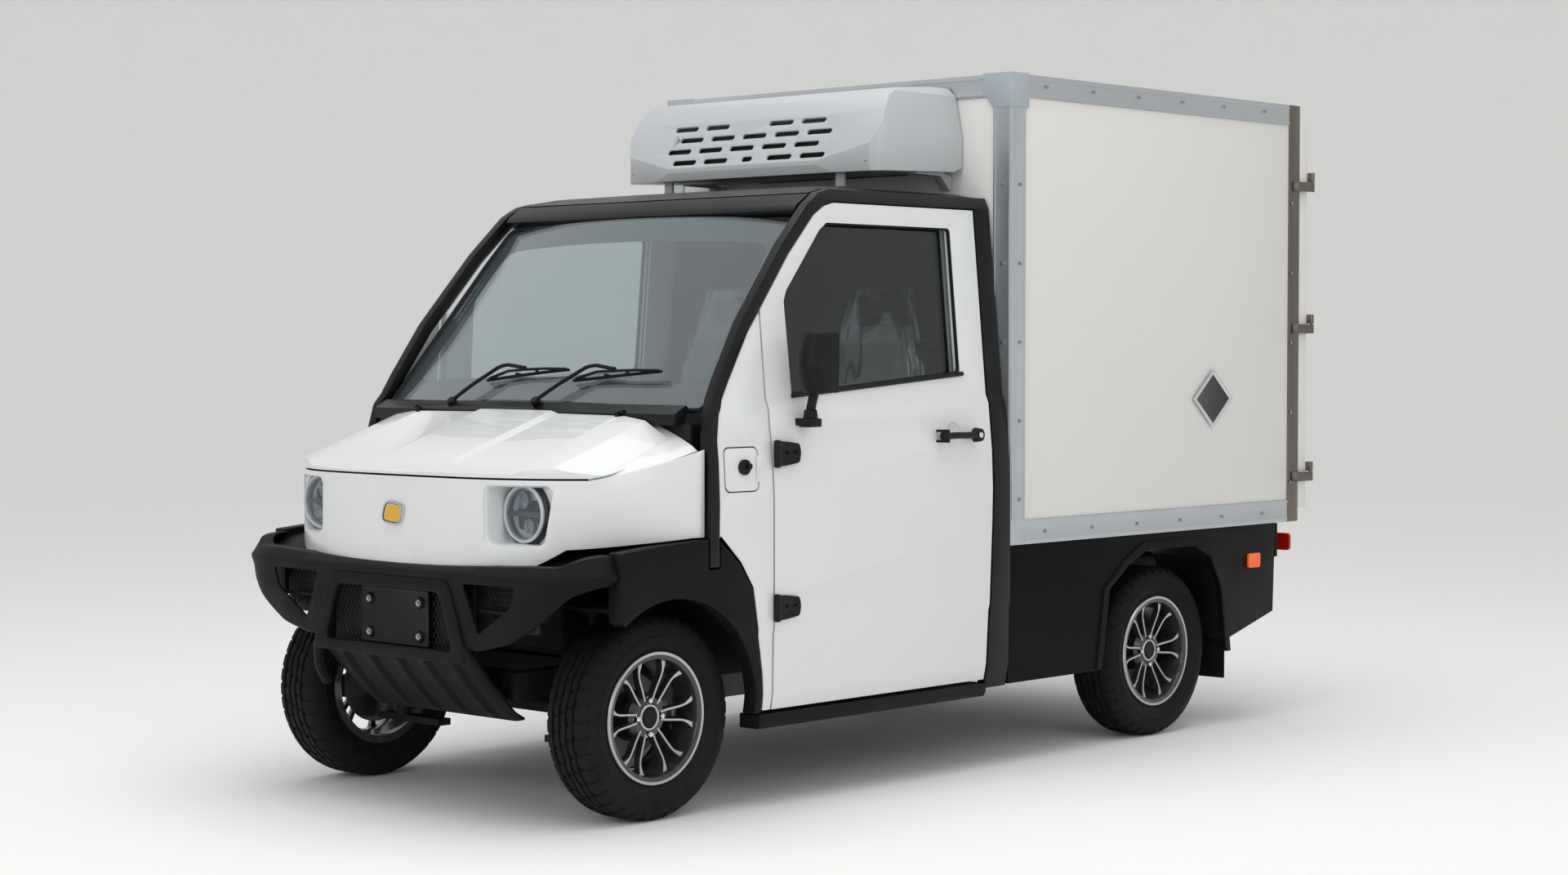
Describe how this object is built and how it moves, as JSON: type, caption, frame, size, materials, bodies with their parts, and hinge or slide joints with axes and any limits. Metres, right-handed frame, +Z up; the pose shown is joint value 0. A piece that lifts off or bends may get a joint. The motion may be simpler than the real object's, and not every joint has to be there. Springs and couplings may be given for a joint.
{
  "type": "mail delivery truck",
  "caption": "Small electric cab truck with opening doors, steering, sprung wheels and a refrigerated cargo box with rear doors.",
  "frame": {"origin": "middle of the underside of the whole truck, on the road under the tyres", "axes": "+Z up, -Y forwards along the truck, +X towards the truck's own left side"},
  "size_m": [1.584, 3.295, 1.979],
  "materials": {
    "gloss_white": "gloss",
    "black_chassis": "satin",
    "black_plastic": "matte",
    "black_frame": "satin",
    "box_panel": "satin",
    "rail_aluminium": "satin",
    "dark_steel": "satin",
    "zinc_steel": "satin",
    "cast_metal": "matte",
    "spring_red": "gloss",
    "tyre_rubber": "matte",
    "alloy": "machined",
    "screen_glass": "gloss",
    "tinted_glass": "gloss",
    "lamp": "gloss",
    "bright_trim": "gloss",
    "seat_cover": "woven",
    "interior": "grained",
    "unit_shell": "satin",
    "battery_case": "satin"
  },
  "bodies": {
    "chassis": {"chassis_frame": "black_chassis", "battery_pack": "battery_case", "cab_shell": "interior", "cab_frame": "black_frame", "cab_roof": "black_frame", "front_fascia": "gloss_white", "side_fenders": "gloss_white", "arch_trims": "black_plastic", "bumper": "black_plastic", "hardware": "zinc_steel", "trim_plates": "bright_trim", "lamps": "lamp", "windscreen": "screen_glass", "dashboard": "interior", "charge_socket": "black_plastic", "box_body": "box_panel", "box_rails": "rail_aluminium", "rear_frame": "dark_steel", "side_skirts": "black_frame", "reefer_shell": "unit_shell", "rear_springs": "spring_red", "spring_left": "spring_red", "spring_right": "spring_red"},
    "strut_left": {"strut_left": "black_chassis"},
    "strut_right": {"strut_right": "black_chassis"},
    "knuckle_left": {"knuckle_left": "cast_metal"},
    "knuckle_right": {"knuckle_right": "cast_metal"},
    "wheel_front_left": {"tyre_front_left": "tyre_rubber", "rim_front_left": "alloy"},
    "wheel_front_right": {"tyre_front_right": "tyre_rubber", "rim_front_right": "alloy"},
    "rear_axle": {"rear_axle": "cast_metal"},
    "wheel_rear_left": {"tyre_rear_left": "tyre_rubber", "rim_rear_left": "alloy"},
    "wheel_rear_right": {"tyre_rear_right": "tyre_rubber", "rim_rear_right": "alloy"},
    "steering_rack": {"steering_rack": "zinc_steel"},
    "steering_wheel": {"steering_wheel": "interior"},
    "accelerator_pedal": {"accelerator_pedal": "black_chassis"},
    "brake_pedal": {"brake_pedal": "black_chassis"},
    "gear_selector": {"gear_selector": "interior"},
    "seat_left": {"seat_left": "seat_cover"},
    "seat_right": {"seat_right": "seat_cover"},
    "hood": {"hood": "gloss_white"},
    "wiper_left": {"wiper_left": "black_plastic"},
    "wiper_right": {"wiper_right": "black_plastic"},
    "door_left": {"door_left": "gloss_white"},
    "door_right": {"door_right": "gloss_white"},
    "window_left": {"window_left": "tinted_glass"},
    "window_right": {"window_right": "tinted_glass"},
    "handle_left": {"handle_left": "black_plastic"},
    "handle_right": {"handle_right": "black_plastic"},
    "mirror_left": {"mirror_left": "black_plastic"},
    "mirror_right": {"mirror_right": "black_plastic"},
    "charge_flap": {"charge_flap": "gloss_white"},
    "cargo_door_left": {"cargo_door_left": "box_panel"},
    "cargo_door_right": {"cargo_door_right": "box_panel"},
    "lock_bar_left": {"lock_bar_left": "zinc_steel"},
    "lock_bar_right": {"lock_bar_right": "zinc_steel"},
    "reefer_fan": {"reefer_fan": "black_plastic"}
  },
  "joints": [
    {"name": "suspension_left", "type": "slide", "parent": "chassis", "child": "strut_left", "axis": [0, 0, 1], "range_m": [-0.035, 0.035], "stiffness_N_per_m": 20000, "springref_m": -0.059, "deforming": ["spring_left"]},
    {"name": "suspension_right", "type": "slide", "parent": "chassis", "child": "strut_right", "axis": [0, 0, 1], "range_m": [-0.035, 0.035], "stiffness_N_per_m": 20000, "springref_m": -0.059, "deforming": ["spring_right"]},
    {"name": "rear_suspension", "type": "slide", "parent": "chassis", "child": "rear_axle", "axis": [0, 0, 1], "range_m": [-0.035, 0.035], "stiffness_N_per_m": 60000, "springref_m": -0.0785, "deforming": ["rear_springs"]},
    {"name": "steer_left", "type": "hinge", "parent": "strut_left", "child": "knuckle_left", "pos_m": [0.47, -1.272, 0.261], "axis": [0, 0, 1], "range_deg": [-30, 30]},
    {"name": "front_wheel_left", "type": "hinge", "parent": "knuckle_left", "child": "wheel_front_left", "pos_m": [0.545, -1.272, 0.261], "axis": [1, 0, 0], "continuous": true},
    {"name": "rear_wheel_left", "type": "hinge", "parent": "rear_axle", "child": "wheel_rear_left", "pos_m": [0.575, 0.852, 0.261], "axis": [1, 0, 0], "continuous": true},
    {"name": "steer_right", "type": "hinge", "parent": "strut_right", "child": "knuckle_right", "pos_m": [-0.47, -1.272, 0.261], "axis": [0, 0, 1], "range_deg": [-30, 30]},
    {"name": "front_wheel_right", "type": "hinge", "parent": "knuckle_right", "child": "wheel_front_right", "pos_m": [-0.545, -1.272, 0.261], "axis": [1, 0, 0], "continuous": true},
    {"name": "rear_wheel_right", "type": "hinge", "parent": "rear_axle", "child": "wheel_rear_right", "pos_m": [-0.575, 0.852, 0.261], "axis": [1, 0, 0], "continuous": true},
    {"name": "rack_travel", "type": "slide", "parent": "chassis", "child": "steering_rack", "axis": [1, 0, 0], "range_m": [-0.068, 0.068]},
    {"name": "steering_wheel_turn", "type": "hinge", "parent": "chassis", "child": "steering_wheel", "pos_m": [0.3, -0.802, 0.88], "axis": [0, 0.8829, 0.4695], "range_deg": [-455, 455]},
    {"name": "accelerator_press", "type": "hinge", "parent": "chassis", "child": "accelerator_pedal", "pos_m": [0.205, -1.102, 0.64], "axis": [-1, 0, 0], "range_deg": [0, 16], "stiffness_Nm_per_rad": 8, "springref_deg": -6.88},
    {"name": "brake_press", "type": "hinge", "parent": "chassis", "child": "brake_pedal", "pos_m": [0.29, -1.102, 0.64], "axis": [-1, 0, 0], "range_deg": [0, 18], "stiffness_Nm_per_rad": 12, "springref_deg": -6.88},
    {"name": "selector_turn", "type": "hinge", "parent": "chassis", "child": "gear_selector", "pos_m": [0.12, -0.802, 0.9], "axis": [0, 1, 0], "range_deg": [-45, 45]},
    {"name": "seat_slide_left", "type": "slide", "parent": "chassis", "child": "seat_left", "axis": [0, -1, 0], "range_m": [-0.02, 0.14]},
    {"name": "seat_slide_right", "type": "slide", "parent": "chassis", "child": "seat_right", "axis": [0, -1, 0], "range_m": [-0.02, 0.14]},
    {"name": "hood_lift", "type": "hinge", "parent": "chassis", "child": "hood", "pos_m": [0, -1.2005, 1.03], "axis": [-1, 0, 0], "range_deg": [0, 55]},
    {"name": "wiper_sweep_left", "type": "hinge", "parent": "chassis", "child": "wiper_left", "pos_m": [0.052, -1.1722, 1.0484], "axis": [0, -0.7672, 0.6414], "range_deg": [0, 80]},
    {"name": "wiper_sweep_right", "type": "hinge", "parent": "chassis", "child": "wiper_right", "pos_m": [-0.3, -1.1722, 1.0484], "axis": [0, -0.7672, 0.6414], "range_deg": [0, 80]},
    {"name": "door_swing_left", "type": "hinge", "parent": "chassis", "child": "door_left", "pos_m": [0.701, -0.92, 0.72], "axis": [0, 0, -1], "range_deg": [0, 68]},
    {"name": "window_drop_left", "type": "slide", "parent": "door_left", "child": "window_left", "axis": [0.0943, 0, -0.9955], "range_m": [0, 0.43]},
    {"name": "handle_pull_left", "type": "hinge", "parent": "door_left", "child": "handle_left", "pos_m": [0.711, -0.25, 0.951], "axis": [0, 0, -1], "range_deg": [0, 25], "stiffness_Nm_per_rad": 0.6},
    {"name": "mirror_fold_left", "type": "hinge", "parent": "door_left", "child": "mirror_left", "pos_m": [0.712, -0.806, 1.02], "axis": [0, 0, 1], "range_deg": [-20, 70]},
    {"name": "door_swing_right", "type": "hinge", "parent": "chassis", "child": "door_right", "pos_m": [-0.701, -0.92, 0.72], "axis": [0, 0, 1], "range_deg": [0, 68]},
    {"name": "window_drop_right", "type": "slide", "parent": "door_right", "child": "window_right", "axis": [-0.0943, 0, -0.9955], "range_m": [0, 0.43]},
    {"name": "handle_pull_right", "type": "hinge", "parent": "door_right", "child": "handle_right", "pos_m": [-0.711, -0.25, 0.951], "axis": [0, 0, 1], "range_deg": [0, 25], "stiffness_Nm_per_rad": 0.6},
    {"name": "mirror_fold_right", "type": "hinge", "parent": "door_right", "child": "mirror_right", "pos_m": [-0.712, -0.806, 1.02], "axis": [0, 0, -1], "range_deg": [-20, 70]},
    {"name": "charge_flap_open", "type": "hinge", "parent": "chassis", "child": "charge_flap", "pos_m": [0.695, -0.9795, 0.884], "axis": [0, 0, 1], "range_deg": [0, 110]},
    {"name": "cargo_door_swing_left", "type": "hinge", "parent": "chassis", "child": "cargo_door_left", "pos_m": [0.702, 1.631, 1.2], "axis": [0, 0, -1], "range_deg": [0, 235]},
    {"name": "lock_bar_turn_left", "type": "hinge", "parent": "cargo_door_left", "child": "lock_bar_left", "pos_m": [0.14, 1.635, 1.2], "axis": [0, 0, 1], "range_deg": [0, 90]},
    {"name": "cargo_door_swing_right", "type": "hinge", "parent": "chassis", "child": "cargo_door_right", "pos_m": [-0.702, 1.631, 1.2], "axis": [0, 0, 1], "range_deg": [0, 235]},
    {"name": "lock_bar_turn_right", "type": "hinge", "parent": "cargo_door_right", "child": "lock_bar_right", "pos_m": [-0.14, 1.635, 1.2], "axis": [0, 0, -1], "range_deg": [0, 90]},
    {"name": "fan_spin", "type": "hinge", "parent": "chassis", "child": "reefer_fan", "pos_m": [-0.21, -0.136, 1.8], "axis": [0, 1, 0], "continuous": true}
  ],
  "couplings": [
    {"joint": "steer_right", "follows": "steer_left", "ratio": 1},
    {"joint": "rack_travel", "follows": "steer_left", "m_per_rad": -0.126},
    {"joint": "steering_wheel_turn", "follows": "steer_left", "ratio": 15},
    {"joint": "wiper_sweep_right", "follows": "wiper_sweep_left", "ratio": 1}
  ]
}
